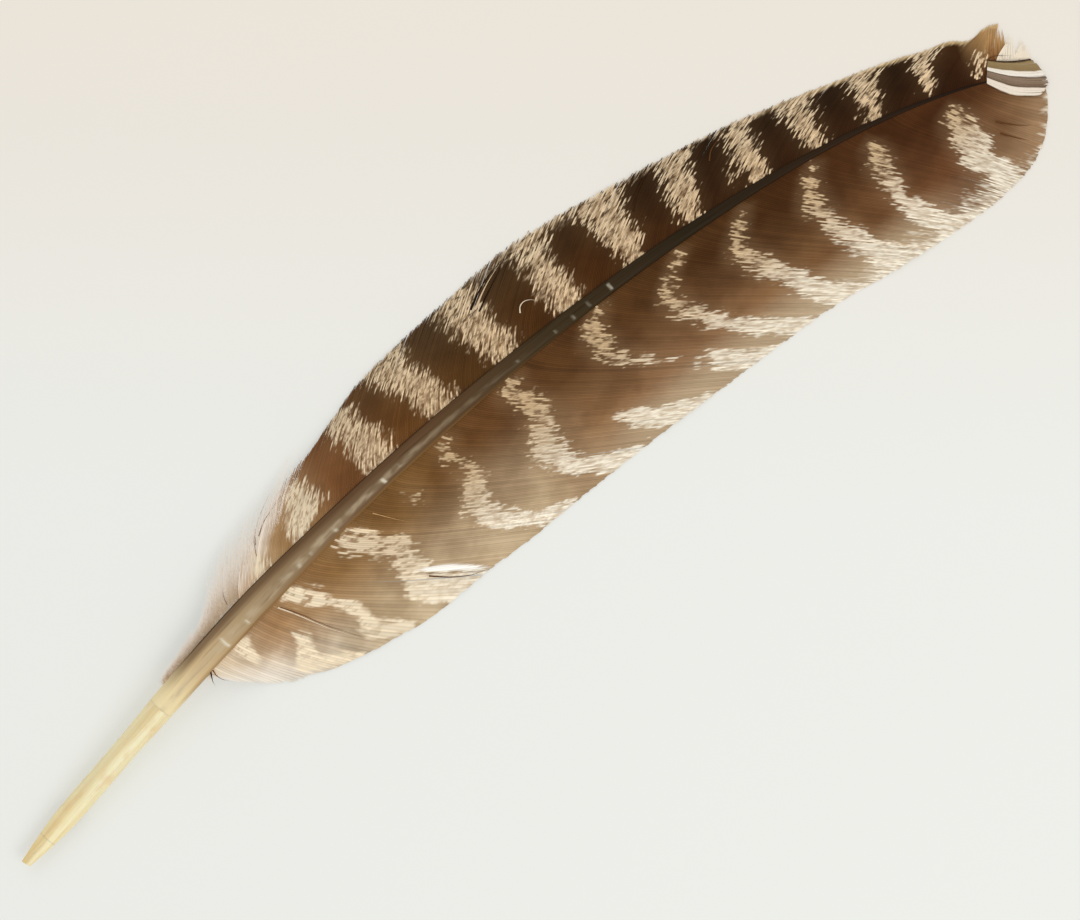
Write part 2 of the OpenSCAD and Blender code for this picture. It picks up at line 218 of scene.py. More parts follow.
LEADING_BARS = [
    [(106, 4, 2.6), (107.5, 7, 1.8), (109, 10, 0.8)],
    [(122, 4, 2.2), (126, 6, 5.6), (127.5, 9, 5.8), (128.5, 12, 4.6), (129.5, 15, 2.4)],
    [(153, 3, 4.4), (154, 8, 4.8), (152.5, 14, 4.2), (152, 21, 4.6)],
    [(176, 3, 4.3), (175, 8, 3.8), (174, 14, 4.4), (172, 18, 4.2), (171, 22, 5.8), (172, 25, 7.2)],
    [(199.5, 3, 3.8), (199.5, 8, 4.4), (197, 12, 4.4), (197.5, 16, 5.2), (196.5, 20, 5), (198, 24, 7)],
    [(222.5, 3, 4.4), (222, 8, 4), (222, 16, 4.3), (222, 20, 4), (224.5, 24, 6), (226.5, 26, 9.5)],
    [(244, 2, 2.6), (245, 5, 3.6), (246, 8, 4.6), (244.7, 12, 4.2), (245, 16, 5), (246, 19, 6.5),
     (246, 22, 8.5)],
    [(265, 2, 2), (265, 5, 3.3), (266.5, 9, 3.8), (267, 13, 4), (268, 17, 3.8), (270, 20, 5.8)],
    [(286, 1, 2.2), (287.5, 5, 3.2), (287, 9, 3.1), (287, 13, 3.3), (288, 16, 4), (290.5, 18, 5)],
    [(305.5, 1, 2.1), (305.5, 5, 2.8), (305.5, 12, 3.2), (306, 15, 4.5), (307, 17, 6.5)],
    [(324, 1, 1.8), (324.5, 5, 2.2), (325, 8, 3.0), (325.2, 12, 3.5), (326, 15, 4.8)],
    [(341, 2.5, 0.8), (342, 6, 1.4), (342, 9, 2.1), (343.5, 12, 2.8), (343.5, 14, 4.0)],
    [(356.6, 2.5, 0.8), (357.2, 6, 1.3), (358, 8.5, 1.1)],
]
TRAILING_BARS = [
    [(88, 5, 3), (87.5, 9, 2.2), (86.5, 12.5, 1)],
    [(101, 14, 0.6), (101, 17, 2.6), (98, 20, 4.2), (97, 23, 3.6), (102, 27, 3.4), (108, 32, 3)],
    [(107.5, 5, 3.6), (109.5, 8, 3.6), (112.5, 12, 3.4), (114.5, 15, 1.4)],
    [(116, 17, 1.4), (118, 20, 2.8), (118, 24, 1.8), (117, 27, 3), (119, 31, 4), (125, 36, 3.6)],
    [(130, 5, 4), (132, 9, 4.4), (136, 13, 4.2), (138.5, 17, 4.6), (138.5, 21, 3.6), (137.5, 25, 4.4),
     (136.5, 29, 5.4), (140, 34, 7.5), (147, 39, 8)],
    [(167.5, 7, 1), (169, 11, 1.3), (171, 15, 2), (167, 20, 3.8), (164.5, 22, 4.6), (165, 25.5, 3.6),
     (164.7, 28.5, 4.2), (166.5, 31, 4.6), (169, 34, 4.4), (173, 37, 4.2), (182, 41, 7)],
    [(194.5, 4, 3.6), (193.5, 7.5, 3.2), (195, 11, 3.3), (196, 15, 3.4), (194, 19, 4.4), (191.5, 22, 4.6),
     (190.5, 25.5, 5), (191.5, 28, 4.8), (192.5, 31, 4), (194.5, 34, 3.8), (199, 37, 5), (207, 41, 8)],
    [(227, 3, 2.2), (224, 5.5, 3.4), (221.7, 9, 3.1), (222, 12, 3.3), (222.5, 15.5, 2.8), (225.5, 19, 2.4),
     (229, 22, 1.7), (231, 24, 0.9), (236, 27.5, 0.2)],
    [(213, 30, 0.4), (216, 31.5, 2.4), (219.5, 35, 4.4), (224, 38, 6.8), (233, 42, 8)],
    [(255.5, 3.5, 1.1), (253, 5.5, 1.5), (248.5, 8.5, 1.9), (246, 12, 2.3), (246.5, 15, 2.5),
     (247.5, 18, 2.5), (251, 21.5, 2.3), (253, 24, 2.9), (253.5, 26.5, 3.8), (258.5, 29, 3), (261.5, 32, 3.5),
     (267, 35.5, 4.8), (271, 38, 5), (277, 42, 6)],
    [(247, 32, 1.6), (248.5, 33.5, 3.2), (249.5, 35.5, 4.6), (252, 38, 6), (261, 42, 7)],
    [(277.5, 3.5, 0.8), (273, 8, 2.1), (270.5, 11, 2.3), (270.5, 14, 2.7), (273, 17.3, 3.1),
     (274.5, 20.5, 3.6), (277, 23.5, 3.6), (279.5, 26.5, 3.7), (281, 29, 3.7), (283.5, 32, 4),
     (286.5, 35, 4.9), (290, 38, 6.4), (298, 42, 8.5)],
    [(301.5, 3, 1.1), (299, 6, 1.5), (297, 9, 2.3), (296.5, 12, 2.9), (297, 15, 2.7), (298.5, 17.5, 1.8),
     (298.5, 20, 3.1), (300, 23, 3.5), (302, 26, 3.7), (303, 29, 3.9), (306.5, 32, 4.5), (309.5, 35, 5.8),
     (312, 38, 8), (309, 42, 12)],
    [(319.5, 5, 1.1), (320, 8, 2.1), (319.5, 11, 2.9), (319.5, 14, 2.7), (320.5, 17.5, 2.5), (320.5, 20.5, 2),
     (321, 23, 2.4), (323.5, 26, 3.7), (325, 29, 4.3), (328, 32, 5), (334, 34.5, 8), (338, 38, 11)],
    [(346, 5, 1.8), (346.5, 8, 4), (347, 11, 4.8), (348, 14, 5.4), (349, 17, 5.6), (348.5, 20, 5.2),
     (352, 23, 6.4), (355.5, 26, 5.5), (356, 30, 7)],
]
# Pale specks away from the bars: rows of (place along, side and distance out, radius)
SPECKS = [(153.3, -10.3, 1.3), (169.8, -4.6, 1.2), (242, -32, 1.0), (172, 5, 0.5), (280, 6, 0.5)]
BAR_FLOOR = -9.0
BAR_END_SLOPE = 1.6  # how fast a bar closes past its first and last row


def bar_depth(bars, s, out):
    """How deep in a pale bar each point is, in millimetres: below zero is outside."""
    depth = np.full(s.shape, BAR_FLOOR)
    for bar in bars:
        outs = np.array([row[1] for row in bar], float)
        middle = np.interp(out, outs, [row[0] for row in bar])
        half = np.interp(out, outs, [row[2] for row in bar])
        past = np.maximum(outs[0] - out, 0) + np.maximum(out - outs[-1], 0)
        depth = np.maximum(depth, half - np.abs(s - middle) - BAR_END_SLOPE * past)
    return depth


# Where the broad vane stands open and shows white, as rows of (place along, distance out)
WHITE_STREAK = ((138.5, 26), (147, 32.5), (154.5, 39.5))
WHITE_HALF = 1.5
WHITE_BLUR = 0.4
WHITE_SHADOW_HALF = 0.45


def white_streak(s, out):
    """How much each point lies in the white streak, and below zero in the shadow along its outer side."""
    along = [p[0] for p in WHITE_STREAK]
    middle = np.interp(s, along, [p[1] for p in WHITE_STREAK])
    t = np.clip((s - along[0]) / (along[-1] - along[0]), 0, 1)
    half = WHITE_HALF * np.sin(math.pi * t) ** 0.6
    past_edge = np.abs(out - middle - half - 0.35)
    shadow = np.clip(1 - past_edge / WHITE_SHADOW_HALF, 0, 1) * (t > 0) * (t < 1)
    return np.clip((half - np.abs(out - middle)) / WHITE_BLUR, 0, 1) - shadow


def speck_depth(side, s, out):
    """How deep in a speck each point is, in millimetres: below zero is outside."""
    depth = np.full(s.shape, BAR_FLOOR)
    for place, where, radius in SPECKS:
        if where * side > 0:
            depth = np.maximum(depth, radius - np.hypot(s - place, out - abs(where)))
    return depth


# ---- The two vanes ----

# side counts distances out from the shaft, and width multiplies reach. Barbs are loose up to the first place
# in loose_until and webbed by the second. narrow is how much a loose and a webbed barb's free end narrows,
# jitter how much webbed barbs differ in length, and end_shorter how much shorter they are past END_STARTS.
LEADING = SimpleNamespace(
    name="leading", side=1, width=26.8, reach=LEADING_REACH, sweep=LEADING_SWEEP, parts=LEADING_PARTS,
    bars=LEADING_BARS, pitch=0.66, segments=24, loose_until=(104, 114), narrow=(0.93, 0.6), jitter=0.009,
    end_shorter=0.0
)
TRAILING = SimpleNamespace(
    name="trailing", side=-1, width=42.2, reach=TRAILING_REACH, sweep=TRAILING_SWEEP, parts=TRAILING_PARTS,
    bars=TRAILING_BARS, pitch=0.76, segments=34, loose_until=(70, 92), narrow=(0.75, 0.25), jitter=0.003,
    end_shorter=0.12
)


# ---- Mesh helpers ----


def put(points):
    return np.asarray(points, float) * MM


def new_mesh(name, points, faces, facts=None):
    """An object from points in millimetres, whose facts are point attributes that its material reads."""
    mesh = bpy.data.meshes.new(name)
    mesh.from_pydata(put(points).tolist(), [], faces.tolist() if isinstance(faces, np.ndarray) else faces)
    for key, values in (facts or {}).items():
        layer = mesh.attributes.new(key, "FLOAT", "POINT")
        layer.data.foreach_set("value", np.asarray(values, np.float32).ravel())
    mesh.polygons.foreach_set("use_smooth", [True] * len(mesh.polygons))
    mesh.update()
    piece = bpy.data.objects.new(name, mesh)
    bpy.context.collection.objects.link(piece)
    return piece


def spread_out(shape, **facts):
    """Facts repeated so that every point of a mesh has its own."""
    return {key: np.broadcast_to(values, shape) for key, values in facts.items()}


def strip_faces(strips, rows, columns):
    """Faces of many separate sheets, each of rows x columns points."""
    a = np.arange(rows - 1)[:, None] * columns + np.arange(columns - 1)[None, :]
    quad = np.stack([a, a + 1, a + columns + 1, a + columns], axis=-1).reshape(-1, 4)
    return (quad[None] + (np.arange(strips) * rows * columns)[:, None, None]).reshape(-1, 4)


def finish_piece(piece, material, slot, *nodes):
    """Give a piece its material, the feather to ride on and the CAD nodes that it stands for. slot is not
    used.
    """
    piece.data.materials.append(material)
    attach(piece, BODY)
    if nodes:
        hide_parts(*nodes)
    return piece


# ---- Webs: every barb is a ridged strip that meets its neighbours until it frees itself near the edge ----

WEB_LAP = 0.08  # how far a web's first and last barbs reach past its partings, at their roots
RIDGE_HEIGHT = 0.065
TIP_RIDGE = 0.04
RIDGE_LINES = np.array([0.0, 1.0, 0.0])  # a barb's two edges and its ridge between them
SHINGLE = 0.05  # how far one edge of a barb stands over the other
BARB_LIFT = 0.02  # how much single barbs stand over or under the rest at their ends
CLUMP_SHIFT = 0.35
CLUMPS_END = 342.0
OVERLAP = 0.35  # how far outer barbs lap over their neighbours
BASE_FREE = 0.5  # near the barrel the barbs hang together only this far out, and elsewhere to EDGE_FREE
EDGE_FREE = 0.965
FREE_JITTER = 0.02
BASE_JITTER = 0.05  # how much loose barbs differ in length
END_STARTS = 356.0
LOWEST = 0.03  # no barb goes under this height


def clump_shifts(rng, count):
    """Neighbouring barbs lean together in clumps."""
    shifts = np.zeros(count)
    i = 0
    while i < count:
        size = int(rng.integers(5, 26))
        shifts[i:i + size] = rng.uniform(-1, 1)
        i += size
    return shifts


def barb_widths(vane, share, settled, rng):
    """What is left of each barb's full width at each share of its length."""
    free = between(BASE_FREE, EDGE_FREE, settled**0.5) + rng.uniform(-FREE_JITTER, FREE_JITTER, len(settled))
    narrow = np.clip((share[None] - free[:, None]) / (1.0001 - free[:, None]), 0, 1)
    thin = between(*vane.narrow, settled)
    return (1 - narrow**0.8 * thin[:, None]) * (1 + OVERLAP * settled[:, None] * share[None] ** 2)


def barb_lengths(vane, middle, settled, rng):
    """Each barb's length as a share of what the vane's outline asks for."""
    jitter = between(BASE_JITTER, vane.jitter, settled**0.5)
    longer = 1 + jitter * rng.normal(0, 1, len(middle))
    return longer - vane.end_shorter * np.clip((middle - END_STARTS) / 2, 0, 1)


def web_strips(vane, number, rng):
    """Points of a web's barbs, shaped (barbs, segments + 1, 3 lines, xyz), and what its material reads."""
    (first, first_open), (last, last_open) = vane.parts[number - 1:number + 1]
    first, last = first - WEB_LAP, last + WEB_LAP
    count = max(2, int(round((last - first) / vane.pitch)))
    edges = np.linspace(first, last, count + 1)
    middle = (edges[1:] + edges[:-1]) / 2
    share = np.linspace(0, 1, vane.segments + 1)
    t = (middle - first) / (last - first)
    parting = first_open / 2 * (1 - t) ** 6 - last_open / 2 * t**6
    clump = clump_shifts(rng, count) * CLUMP_SHIFT * (middle < CLUMPS_END)
    shift = parting[:, None] * share**2 + clump[:, None] * share**5
    loose_from, webbed_from = vane.loose_until
    settled = np.clip((middle - loose_from) / (webbed_from - loose_from), 0, 1)
    keep = barb_widths(vane, share, settled, rng)
    longer = barb_lengths(vane, middle, settled, rng)
    offsets = np.array([-1.0, 0.0, 1.0]) * (last - first) / count / 2
    root = np.clip(middle[:, None, None] + offsets[None, None] * keep[..., None], first, last)
    full_share = np.broadcast_to(share[None, :, None], root.shape)
    full_shift = np.broadcast_to(shift[..., None], root.shape)
    full_longer = between(1, longer[:, None, None], full_share**3)
    points, s, out = vane_point(vane, root, full_share, full_shift, full_longer)
    lines = np.array([-SHINGLE / 2, 0, SHINGLE / 2])[None, None] + np.zeros(root.shape)
    lines[..., 1] += between(RIDGE_HEIGHT, TIP_RIDGE, full_share[..., 1])
    lines += rng.normal(0, BARB_LIFT, count)[:, None, None] * full_share
    points[..., 2] = np.maximum(points[..., 2] + lines, LOWEST)
    tone = rng.normal(0, 1, count)
    facts = {"s": s, "out": out, "share": full_share}
    facts |= spread_out(root.shape, root=middle[:, None, None], tone=tone[:, None, None], ridge=RIDGE_LINES)
    return points, facts


def make_web(vane, number, material):
    """One web: the barbs from one parting of its vane to the next."""
    name = f"{vane.name}_web_{number}.barbs"
    points, facts = web_strips(vane, number, np.random.default_rng(100 * (2 + vane.side) + number))
    s, out = facts["s"], facts["out"]
    facts["bar"] = np.maximum(bar_depth(vane.bars, s, out), speck_depth(vane.side, s, out))
    facts["white"] = white_streak(s, out) * (vane is TRAILING)
    faces = strip_faces(*points.shape[:3])[:, ::-vane.side]  # turned over on the leading side, to face up
    piece = new_mesh(name, points.reshape(-1, 3), faces, facts)
    return finish_piece(piece, material, f"{vane.name}_barbs", node_of(name))


def node_of(name):
    """The CAD node that a piece named NODE.barbs stands for."""
    return name.rsplit(".", 1)[0]


# ---- Node helpers for materials ----


class Shader:
    """A material's node tree, with one short call for each kind of node."""

    def __init__(self, name):
        self.material = bpy.data.materials.new(name)
        self.material.use_nodes = True
        self.tree = self.material.node_tree
        self.bsdf = self.tree.nodes["Principled BSDF"]

    def node(self, kind, **settings):
        made = self.tree.nodes.new(kind)
        for key, value in settings.items():
            setattr(made, key, value)
        return made

    def feed(self, socket, value):
        if isinstance(value, bpy.types.NodeSocket):
            self.tree.links.new(value, socket)
        else:
            socket.default_value = value

    def facts(self, *names):
        """The mesh's point attributes of these names."""
        return [self.node("ShaderNodeAttribute", attribute_name=name).outputs["Fac"] for name in names]

    def math(self, operation, a, b):
        made = self.node("ShaderNodeMath", operation=operation)
        self.feed(made.inputs[0], a)
        self.feed(made.inputs[1], b)
        return made.outputs[0]

    def plus(self, a, b):
        return self.math("ADD", a, b)

    def times(self, first, *others):
        for other in others:
            first = self.math("MULTIPLY", first, other)
        return first

    def minus(self, a, b):
        return self.math("SUBTRACT", a, b)

    def swing(self, noise, size):
        """A noise of 0 to 1, made to run from minus to plus half of the size."""
        return self.times(self.minus(noise, 0.5), size)

    def vector(self, x=0.0, y=0.0, z=0.0):
        made = self.node("ShaderNodeCombineXYZ")
        for socket, value in zip(made.inputs, (x, y, z)):
            self.feed(socket, value)
        return made.outputs[0]

    def place(self):
        """Where a point lies, in metres."""
        return self.node("ShaderNodeTexCoord").outputs["Object"]

    def split(self, vector):
        made = self.node("ShaderNodeSeparateXYZ")
        self.feed(made.inputs[0], vector)
        return made.outputs

    def noise(self, vector, detail=2.0, roughness=0.5, scale=1.0):
        made = self.node("ShaderNodeTexNoise")
        self.feed(made.inputs["Vector"], vector)
        self.feed(made.inputs["Scale"], scale)
        self.feed(made.inputs["Detail"], detail)
        self.feed(made.inputs["Roughness"], roughness)
        return made.outputs["Fac"]

    def span(self, value, low, high, to_low=0.0, to_high=1.0):
        """Goes smoothly from to_low to to_high as the value goes from low to high."""
        made = self.node("ShaderNodeMapRange", interpolation_type="SMOOTHSTEP")
        ends = {"Value": value, "From Min": low, "From Max": high, "To Min": to_low, "To Max": to_high}
        for key, end in ends.items():
            self.feed(made.inputs[key], end)
        return made.outputs["Result"]

    def mix(self, factor, a, b, blend="MIX"):
        made = self.node("ShaderNodeMix", data_type="RGBA", blend_type=blend)
        self.feed(made.inputs["Factor"], factor)
        colour_sockets = [i for i in made.inputs if i.type == "RGBA"]
        for socket, value in zip(colour_sockets, (a, b)):
            self.feed(socket, value if isinstance(value, bpy.types.NodeSocket) else colour(value))
        return next(o for o in made.outputs if o.type == "RGBA")

    def multiplied(self, a, b):
        return self.mix(1.0, a, b, "MULTIPLY")

    def ramp(self, value, stops):
        """The colour at a value, from rows of (value, red, green, blue)."""
        made = self.node("ShaderNodeValToRGB")
        elements = made.color_ramp.elements
        while len(elements) < len(stops):
            elements.new(0.5)
        for element, (place, *tint) in zip(elements, stops):
            element.position = place
            element.color = colour(tint)
        self.feed(made.inputs["Fac"], value)
        return made.outputs["Color"]

    def grey(self, value):
        made = self.node("ShaderNodeCombineColor")
        for socket in made.inputs:
            self.feed(socket, value)
        return made.outputs[0]

    def bump(self, height, strength, distance):
        made = self.node("ShaderNodeBump")
        self.feed(made.inputs["Height"], height)
        made.inputs["Strength"].default_value = strength
        made.inputs["Distance"].default_value = distance
        self.tree.links.new(made.outputs["Normal"], self.bsdf.inputs["Normal"])

    def finish(self, base, roughness, **constants):
        """The material, with its colour and roughness fed in and its constants set on their sockets."""
        self.feed(self.bsdf.inputs["Base Color"], base)
        self.feed(self.bsdf.inputs["Roughness"], roughness)
        for key, value in constants.items():
            self.bsdf.inputs[key.replace("_", " ")].default_value = value
        return self.material


def colour(rgb):
    """An sRGB colour given as 0 to 255, made linear for a socket."""
    linear = []
    for channel in rgb:
        c = channel / 255
        linear.append(c / 12.92 if c <= 0.04045 else ((c + 0.055) / 1.055) ** 2.4)
    return (*linear, 1.0)


# ---- Materials ----

WHITE_TINT = (250, 247, 240)
SHADOW_TINT = (74, 52, 34)
BASE_PALE = (240, 223, 194)  # the pale bars' colour near the barrel, fading out between these two places
BASE_PALE_SPAN = (165, 110)


def web_readings(m, look):
    """What a web's shader reads: its barbs' facts, and the noises that run along the barbs."""
    names = ("s", "out", "share", "root", "tone", "ridge", "bar", "white")
    read = SimpleNamespace(**dict(zip(names, m.facts(*names))))
    read.streak = m.noise(m.vector(m.times(read.root, 0.42), m.times(read.out, 0.085)), 3, 0.65)
    fleck_along = m.times(read.out, m.span(read.s, 110, 200, *look.fleck_along))
    read.fleck = m.noise(m.vector(m.times(read.root, look.fleck_across), fleck_along, 7), 2, 0.6)
    read.spot = m.noise(m.vector(read.root, m.times(read.out, look.spot_along), 11), 2, 0.6)
    read.cloud = m.noise(m.vector(m.times(read.s, 0.07), m.times(read.out, 0.09), 3), 3)
    return read


def web_paleness(m, read, look):
    """How pale each point is: ragged bars and a frayed fringe, less the brown spots in them."""
    thinned = m.minus(read.streak, look.thinned)
    ragged = m.times(thinned, m.span(read.share, 0.15, 0.65, *look.ragged))
    flecked = m.swing(read.fleck, m.span(read.share, 0.3, 0.9, *look.flecked))
    broken = m.times(m.plus(ragged, flecked), m.span(read.s, *look.broken))
    depth = m.times(m.plus(read.bar, broken), m.span(read.s, *look.crisp))
    frayed = m.plus(read.share, m.swing(read.fleck, look.frayed))
    trimmed = m.minus(frayed, m.span(read.s, *look.trimmed))
    fringe = m.times(m.span(trimmed, *look.fringe_share), m.span(read.s, *look.fringe_along))
    spotted = m.times(m.span(read.spot, 0.5, 0.64), m.span(read.share, 0.2, 0.9, *look.spotted))
    return m.times(m.math("MAXIMUM", m.span(depth, -1, 1.1), fringe), m.minus(1, spotted))


def web_dark(m, read, look):
    """The brown between the bars: clouded, paler round the bars and at the rim, fluffy near the barrel."""
    along = m.math("DIVIDE", read.s, FEATHER_END)
    inner, outer = m.ramp(along, look.dark_inner), m.ramp(along, look.dark_outer)
    dark = m.mix(m.span(read.share, 0.15, 0.9), inner, outer)
    dark = m.mix(m.span(read.cloud, 0.35, 0.65, 0, 0.6), dark, m.multiplied(dark, look.cloud))
    dark = m.mix(m.span(read.bar, -6, 0, 0, look.halo), dark, look.halo_tint)
    loose = m.span(m.plus(read.root, m.swing(read.cloud, 14)), *look.loose)
    fluff = m.mix(m.span(m.plus(read.share, read.fleck), 0.4, 1.2), look.loose_inner, look.loose_outer)
    dark = m.mix(m.times(loose, look.looseness), dark, fluff)
    at_edge = m.span(m.plus(read.share, m.times(read.fleck, 0.08)), *look.rim_share)
    kept = m.span(read.s, 315, 345, 1, look.rim_end)
    return m.mix(m.times(at_edge, m.span(read.s, *look.rim_along), kept), dark, look.rim_tint)


def web_light(m, read, look):
    """The pale of the bars, stained in flecks."""
    light = m.mix(m.span(read.share, 0.2, 0.95), look.pale_inner, look.pale_outer)
    light = m.mix(m.span(read.fleck, 0.62, 0.35, 0, look.stain), light, look.pale_stain)
    return m.mix(m.span(read.s, *BASE_PALE_SPAN), light, BASE_PALE)


def web_material(name, look):
    """Barred barbs: ragged pale bars over brown, streaked along each barb, with shade painted between the
    barbs.
    """
    m = Shader(name)
    read = web_readings(m, look)
    base = m.mix(web_paleness(m, read, look), web_dark(m, read, look), web_light(m, read, look))
    base = m.mix(m.math("MAXIMUM", read.white, 0), base, WHITE_TINT)
    base = m.mix(m.span(read.white, 0, -1, 0, 0.8), base, SHADOW_TINT)
    # painted shade: each barb darker along its edges, where the grooves between barbs lie, and lighter on its
    # ridge, as strong as look.line
    painted_groove_shade = m.plus(m.times(read.ridge, look.line), 1 - 0.6 * look.line)
    # shade is the painted groove shade times each barb's own random tone
    shade = m.times(painted_groove_shade, m.plus(m.times(read.tone, 0.06), 1))
    m.bump(read.fleck, 0.25, 0.0001)
    return m.finish(m.multiplied(base, m.grey(shade)), look.roughness, Specular_IOR_Level=0.06)


# What web_material reads. The groups of two or four numbers are spans: the ends of what is read, then the
# ends of what it gives. Of ragged, flecked, spotted and fleck_along only the second half is here. The dark
# ramps run from the writing point, at 0, to the feather's end, at 1.
# line is how strongly shade is painted along the grooves between barbs, and highlight on their ridges.
LEADING_LOOK = SimpleNamespace(
    ragged=(6, 6), thinned=0.5, flecked=(15, 18), broken=(0, 400, 1, 1), fleck_across=1.2,
    fleck_along=(0.2, 0.36), crisp=(222, 244, 0.55, 1.2), frayed=0.3, trimmed=(230, 246, 0, 0.06),
    fringe_share=(0.86, 0.98), fringe_along=(192, 225), spotted=(0.6, 0.95), spot_along=0.75,
    dark_inner=[(0.26, 235, 210, 174), (0.31, 184, 147, 101), (0.37, 131, 88, 52), (0.434, 106, 69, 33),
        (0.5, 85, 56, 25), (0.6, 76, 44, 15), (0.72, 60, 35, 14), (0.88, 52, 30, 12), (0.948, 58, 31, 12),
        (0.963, 118, 74, 38)],
    dark_outer=[(0.26, 237, 218, 192), (0.3, 212, 178, 134), (0.37, 129, 88, 55), (0.434, 97, 69, 40),
        (0.5, 78, 58, 36), (0.6, 67, 45, 22), (0.72, 50, 32, 15), (0.88, 44, 28, 13), (0.938, 62, 37, 16),
        (0.96, 198, 158, 106)],
    cloud=(200, 190, 180), halo=0.12, halo_tint=(120, 92, 60), pale_inner=(230, 202, 164),
    pale_outer=(230, 208, 174), pale_stain=(132, 100, 66), stain=0.85, loose=(112, 103), looseness=1,
    loose_inner=(204, 174, 140), loose_outer=(244, 232, 218), rim_share=(0.95, 1.03),
    rim_along=(285, 325, 0, 0.9), rim_end=1, rim_tint=(204, 176, 126), line=0.2, roughness=0.7
)
TRAILING_LOOK = SimpleNamespace(
    ragged=(13, 6), thinned=0.54, flecked=(15, 10), broken=(95, 145, 0.35, 1), fleck_across=1.05,
    fleck_along=(0.13, 0.38), crisp=(0, 400, 0.9, 0.9), frayed=0.4, trimmed=(350, 366, 0, 0.1),
    fringe_share=(0.84, 1), fringe_along=(262, 335), spotted=(0.8, 0.45), spot_along=0.35,
    dark_inner=[(0.2, 231, 212, 182), (0.262, 187, 148, 106), (0.322, 152, 115, 71), (0.4, 127, 92, 51),
        (0.484, 103, 68, 36), (0.553, 94, 62, 32), (0.635, 86, 56, 27), (0.76, 74, 45, 19),
        (0.9, 78, 45, 20), (0.965, 93, 59, 32)],
    dark_outer=[(0.2, 241, 231, 216), (0.262, 229, 218, 198), (0.322, 209, 188, 154), (0.4, 208, 186, 153),
        (0.484, 198, 174, 140), (0.553, 161, 124, 87), (0.635, 151, 114, 81), (0.76, 145, 107, 70),
        (0.9, 113, 74, 46), (0.975, 151, 116, 82)],
    cloud=(196, 184, 172), halo=0.2, halo_tint=(150, 122, 90), pale_inner=(203, 176, 138),
    pale_outer=(246, 238, 220), pale_stain=(168, 138, 104), stain=0.55, loose=(92, 78), looseness=0.6,
    loose_inner=(234, 212, 180), loose_outer=(250, 242, 230), rim_share=(0.68, 0.96),
    rim_along=(185, 225, 0, 0.95), rim_end=0.2, rim_tint=(182, 160, 130), line=0.15, roughness=0.7
)

SHAFT_TINTS = [
    (0.165, 236, 220, 176), (0.18, 234, 216, 170), (0.21, 204, 178, 136), (0.25, 178, 154, 118),
    (0.307, 142, 118, 88), (0.39, 110, 86, 61), (0.475, 92, 68, 43), (0.587, 60, 46, 25), (0.726, 40, 29, 12),
    (0.866, 44, 28, 13), (1, 30, 18, 8)
]


def shaft_material():
    """Horn that turns from straw to near black, with pale nicks scratched across it, a painted highlight band
    and painted shade on its leading side.
    """
    m = Shader("shaft_horn")
    # turn goes across the shaft, from -1 at its trailing side to 1 at its leading side
    s, turn, nick = m.facts("s", "turn", "nick")
    base = m.ramp(m.math("DIVIDE", s, SHAFT_LENGTH), SHAFT_TINTS)
    streak = m.noise(m.vector(m.times(turn, 5), m.times(s, 0.035)), 4, 0.6)
    fine = m.noise(m.vector(m.times(turn, 3), m.times(s, 0.22), 4), 1)
    beyond_neck = m.span(s, 58, 74)
    streaked = m.times(m.span(streak, 0.5, 0.7, 0, 0.45), beyond_neck)
    base = m.mix(streaked, base, m.multiplied(base, (128, 108, 88)))
    # painted highlight: a lighter band down the shaft, just to the trailing side of its middle
    lit = m.times(m.span(turn, -0.62, -0.3), m.span(turn, 0.12, -0.12), m.span(s, 215, 120))
    base = m.mix(m.times(lit, m.span(fine, 0.35, 0.7, 0.15, 0.6)), base, (192, 175, 146))
    amber = m.times(m.span(turn, -0.6, -0.95), m.span(s, 230, 150), beyond_neck, 0.6)
    base = m.mix(amber, base, (146, 108, 58))
    # painted shade: the leading side of the shaft darker
    shaded = m.times(m.span(turn, 0.1, 0.6), m.span(s, 60, 78), m.span(s, 210, 150), 0.72)
    base = m.mix(shaded, base, (92, 64, 40))
    # painted shade: a near black line along the shaft's leading rim
    painted_rim_shade = m.times(m.span(turn, 0.8, 0.96), m.span(s, 68, 84), 0.85)
    base = m.mix(nick, m.mix(painted_rim_shade, base, (44, 28, 14)), (222, 214, 192))
    m.bump(streak, 0.3, 0.00012)
    return m.finish(base, m.span(streak, 0.3, 0.7, 0.4, 0.55), Specular_IOR_Level=0.08)


BARREL_TINTS = [
    (0, 226, 204, 148), (0.12, 234, 218, 168), (0.6, 238, 226, 184), (0.9, 236, 222, 178),
    (1, 235, 219, 174)
]


def barrel_place(m):
    """Millimetres along the barrel from the writing point, across it and up from its axis."""
    turned = m.node("ShaderNodeMapping", vector_type="TEXTURE")
    turned.inputs["Location"].default_value = put(point_start)
    turned.inputs["Rotation"].default_value = (0, -math.radians(RISE_ANGLE), math.radians(BOW_START))
    turned.inputs["Scale"].default_value = (MM, MM, MM)
    m.feed(turned.inputs["Vector"], m.place())
    return m.split(turned.outputs[0])


